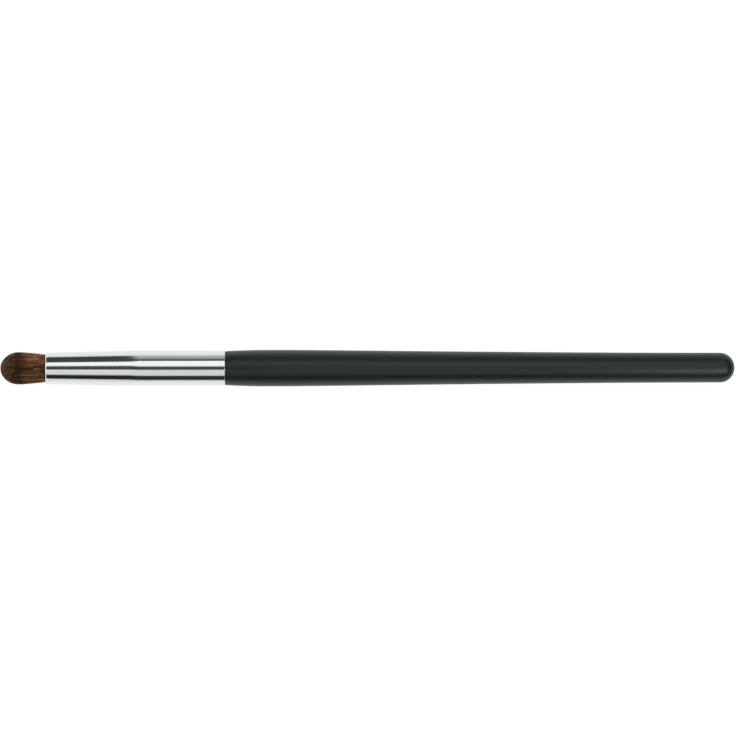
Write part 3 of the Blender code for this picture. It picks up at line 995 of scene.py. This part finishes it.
# Levels of the tent round the table, by degrees from straight up towards +Y. The camera looks
# through the dark gap at the top, and black cards hang beside the two lights.
TENT_OVER_BARREL = [
    (-180, 0.86), (-111, 0.85), (-100, 0.78), (-88, 0.78), (-82, 0.03), (-54, 0.03),
    (-48, 0.64), (-44, 0.68), (-32, 0.75), (-13, 0.69), (-8, 0.06), (8, 0.07), (16.5, 1.02),
    (47.2, 1.04), (50.8, 0.05), (57.5, 0.05), (63.5, 0.29), (66, 0.32), (74, 0.40), (82, 0.46),
    (91, 0.58), (100, 0.78), (106, 0.86), (180, 0.86),
]
TENT_OVER_CONE = [
    (-180, 0.86), (-100, 0.78), (-85, 0.78), (-78.5, 0.02), (-50.5, 0.02), (-44.5, 0.62),
    (-40, 0.70), (-20, 0.76), (-12, 0.80), (-7, 0.06), (12.5, 0.07), (20.5, 1.02), (41, 1.04),
    (45.5, 0.06), (88, 0.05), (91.5, 0.82), (100, 0.86), (180, 0.86),
]
# The cards' ends, as the X part of a ray's direction, and the level past the last of them. On
# diffuse rays the whole tent is dimmer, because the table throws light up.
CONE_LEAN = -0.0355
CONE_BLEND = 0.005
OPEN_LEAN = -0.62
OPEN_BLEND = 0.1
OPEN_LEVEL = 1.05
TENT_DIFFUSE_LEVEL = 0.72


def by_lean(tree, lean, edge, blend, below, above):
    """A level for rays that lean less than the edge, another past it, and a blend between them."""
    past = add_node(
        tree,
        "ShaderNodeMapRange",
        {"Value": lean, "From Min": edge - blend, "From Max": edge + blend},
    )
    level = add_node(
        tree,
        "ShaderNodeMix",
        {"Factor": past.outputs["Result"], "A": below, "B": above},
        data_type="RGBA",
    )
    return level.outputs["Result"]


def studio_tent():
    """White all round for the camera, and for the rest a light tent with black cards.

    Its level is a ramp over the angle round the X axis, arctan(y / z). Where a ray leans past
    CONE_LEAN towards the hair, one grey card has ended and a black one shows instead, and past
    OPEN_LEAN all the cards have ended.
    """
    world = bpy.data.worlds.new("light_tent")
    bpy.context.scene.world = world
    world.use_nodes = True
    tree = world.node_tree
    tree.nodes.clear()
    way = add_node(tree, "ShaderNodeTexCoord").outputs["Generated"]
    split = add_node(tree, "ShaderNodeSeparateXYZ", {"Vector": way})
    angle = add_node(
        tree,
        "ShaderNodeMath",
        {0: split.outputs["Y"], 1: split.outputs["Z"]},
        operation="ARCTAN2",
    )
    share = add_node(
        tree,
        "ShaderNodeMath",
        {0: angle.outputs["Value"], 1: 1 / math.tau, 2: 0.5},
        operation="MULTIPLY_ADD",
    )
    cone, barrel = (
        set_stops(
            add_node(tree, "ShaderNodeValToRGB", {"Fac": share.outputs["Value"]}),
            [(degrees / 360 + 0.5, grey(level)) for degrees, level in tent],
        ).outputs["Color"]
        for tent in (TENT_OVER_CONE, TENT_OVER_BARREL)
    )
    carded = by_lean(tree, split.outputs["X"], CONE_LEAN, CONE_BLEND, cone, barrel)
    around = by_lean(
        tree, split.outputs["X"], OPEN_LEAN, OPEN_BLEND, grey(OPEN_LEVEL), carded
    )
    path = add_node(tree, "ShaderNodeLightPath")
    level = add_node(
        tree,
        "ShaderNodeMix",
        {"Factor": path.outputs["Is Camera Ray"], "A": around, "B": grey(1.0)},
        data_type="RGBA",
    )
    strength = add_node(
        tree,
        "ShaderNodeMath",
        {0: path.outputs["Is Diffuse Ray"], 1: TENT_DIFFUSE_LEVEL - 1, 2: 1.0},
        operation="MULTIPLY_ADD",
    )
    background = add_node(
        tree,
        "ShaderNodeBackground",
        {"Color": level.outputs["Result"], "Strength": strength.outputs["Value"]},
    )
    add_node(tree, "ShaderNodeOutputWorld", {"Surface": background.outputs["Background"]})


# The lamp leans from straight up towards +Y
LAMP_SIZE = 0.5
LAMP_WATTS = 2.2
LAMP_DISTANCE = 0.9
LAMP_LEAN = math.radians(60)


def soft_key_light():
    """A large soft lamp over the table, on the side of the tent's brighter light."""
    lamp = bpy.data.lights.new("soft_key", "AREA")
    lamp.shape = "DISK"
    lamp.size = LAMP_SIZE
    lamp.energy = LAMP_WATTS
    key = bpy.data.objects.new("soft_key", lamp)
    key.location = (
        0.0,
        LAMP_DISTANCE * math.sin(LAMP_LEAN),
        LAMP_DISTANCE * math.cos(LAMP_LEAN),
    )
    key.rotation_euler = (-LAMP_LEAN, 0.0, 0.0)
    key.visible_glossy = False
    bpy.context.scene.collection.objects.link(key)


# The black card's distance from the tail, half its width and its top's height
TAIL_CARD_DISTANCE = 0.014
TAIL_CARD_HALF = 0.022
TAIL_CARD_TOP = 0.015


def tail_card():
    """A black card that stands beyond the tail. Only reflections show it."""
    near = CAD_HIGH.x + TAIL_CARD_DISTANCE
    places = [
        (near, -TAIL_CARD_HALF, FLOOR_Z),
        (near, TAIL_CARD_HALF, FLOOR_Z),
        (near, TAIL_CARD_HALF, TAIL_CARD_TOP),
        (near, -TAIL_CARD_HALF, TAIL_CARD_TOP),
    ]
    material, _, shader = new_material("black_velvet", Roughness=1.0)
    shader.inputs["Base Color"].default_value = linear("#080808")
    only_in_reflections(new_stage("tail_card", places, material))


# The strip's arc: its radius, half its width, how far its middle lies in front of the tail's end,
# its lean, and where it starts and ends, by degrees from straight up
STRIP_REACH = 0.07
STRIP_HALF = 0.003
STRIP_INSET = 0.003
STRIP_LEAN = math.radians(-27)
STRIP_FROM_DEGREES = -12
STRIP_TO_DEGREES = 72
STRIP_POINTS = 29
STRIP_LEVEL = 9.0


def tail_strip():
    """A bright strip that arches over the tail and down behind it. Only reflections show it.

    The arch is an arc round the tail in the XZ plane, which leans towards -Y.
    """
    bend = np.radians(np.linspace(STRIP_FROM_DEGREES, STRIP_TO_DEGREES, STRIP_POINTS))[:, None]
    across = np.array([-STRIP_HALF, STRIP_HALF])[None]
    up = STRIP_REACH * np.cos(bend)
    places = np.stack(
        np.broadcast_arrays(
            TAIL_END + MOUTH_X - STRIP_INSET + STRIP_REACH * np.sin(bend),
            up * math.sin(STRIP_LEAN) + across * math.cos(STRIP_LEAN),
            AXIS_Z + up * math.cos(STRIP_LEAN) - across * math.sin(STRIP_LEAN),
        ),
        axis=-1,
    )
    step = np.arange(len(bend) - 1)[:, None] * 2
    faces = (step + np.array([0, 1, 3, 2])).tolist()
    glow = glowing_material("strip_glow", STRIP_LEVEL)
    strip = new_stage("tail_strip", places.reshape(-1, 3).tolist(), glow, faces)
    only_in_reflections(strip)


# The grey card's height over the axis, half the angle that it takes up there, its two ends from
# the ferrule and from the tail, and its level
HANDLE_CARD_HEIGHT = 0.06
HANDLE_CARD_HALF_ANGLE = math.radians(9)
HANDLE_CARD_FROM_FERRULE = 0.007
HANDLE_CARD_PAST_TAIL = 0.03
HANDLE_CARD_LEVEL = 0.58


def handle_card():
    """A grey card over the handle, where the camera's gap would show. Only reflections show it."""
    half = HANDLE_CARD_HEIGHT * math.tan(HANDLE_CARD_HALF_ANGLE)
    front = MOUTH_X + FERRULE_LENGTH + HANDLE_CARD_FROM_FERRULE
    back = CAD_HIGH.x + HANDLE_CARD_PAST_TAIL
    top = AXIS_Z + HANDLE_CARD_HEIGHT
    places = [(front, -half, top), (back, -half, top), (back, half, top), (front, half, top)]
    glow = glowing_material("grey_card", HANDLE_CARD_LEVEL)
    only_in_reflections(new_stage("handle_card", places, glow))


def photo_camera():
    """Straight above the brush, with the photograph's frame at the height of its axis."""
    pixel = (TAIL_END + HAIR_LENGTH) / BRUSH_PIXELS
    frame_width = PHOTO_PIXELS * pixel
    camera = bpy.data.objects.new("camera", bpy.data.cameras.new("camera"))
    camera.data.lens = LENS_MM
    camera.data.sensor_width = SENSOR_MM
    centre = CAD_LOW.x + (PHOTO_PIXELS / 2 - BRUSH_LEFT_PIXEL) * pixel
    camera.location = (centre, 0.0, AXIS_Z + frame_width * LENS_MM / SENSOR_MM)
    camera.rotation_euler.z = PHOTO_ROLL
    bpy.context.scene.collection.objects.link(camera)
    bpy.context.scene.camera = camera


def dress_brush():
    """All the pieces of the brush. The handle is bare birch where the lacquer doesn't reach."""
    draws = np.random.default_rng(HAIR_SEED)
    lacquer, birch, hair = satin_black_lacquer(), turned_birch(), brown_hair()
    handle = turned("handle_turned", in_fine_steps(handle_outline(), HANDLE_STEP))
    centres = np.empty(len(handle.polygons) * 3)
    handle.polygons.foreach_get("center", centres)
    inside = centres.reshape(-1, 3)[:, 0] < MOUTH_X + FERRULE_LENGTH - LACQUER_OVERLAP
    new_piece(handle, "handle", "handle_finish", lacquer, birch)
    handle.polygons.foreach_set("material_index", inside.astype(np.int32))
    ferrule = turned("ferrule_tube", ferrule_outline())
    new_piece(ferrule, "ferrule", "ferrule_plating", bright_nickel())
    glue = turned("tenon_glue_sleeve", in_fine_steps(glue_outline(), GLUE_STEP))
    new_piece(glue, "tenon_glue", "wood_glue", dried_glue())
    resin = turned("root_resin_cup", in_fine_steps(resin_outline(), RESIN_STEP))
    new_piece(resin, "root_resin", "potting_resin", amber_resin())
    new_piece(binding_thread(), "hair_binding", "binding_thread", cotton_thread())
    new_piece(hair_bundle(draws), "hair_tuft", "hair", hair)
    places, tones, way = hair_paths(draws)
    for index, name in enumerate(HAIR_LAYERS):
        part = slice(index * HAIRS_PER_LAYER, (index + 1) * HAIRS_PER_LAYER)
        layer = hair_layer(name, places[part], tones[part], way, draws)
        new_piece(layer, "hair_tuft", "hair", hair)


studio_floor()
studio_tent()
soft_key_light()
tail_card()
tail_strip()
handle_card()
photo_camera()
dress_brush()

bpy.context.scene.view_settings.view_transform = "Standard"
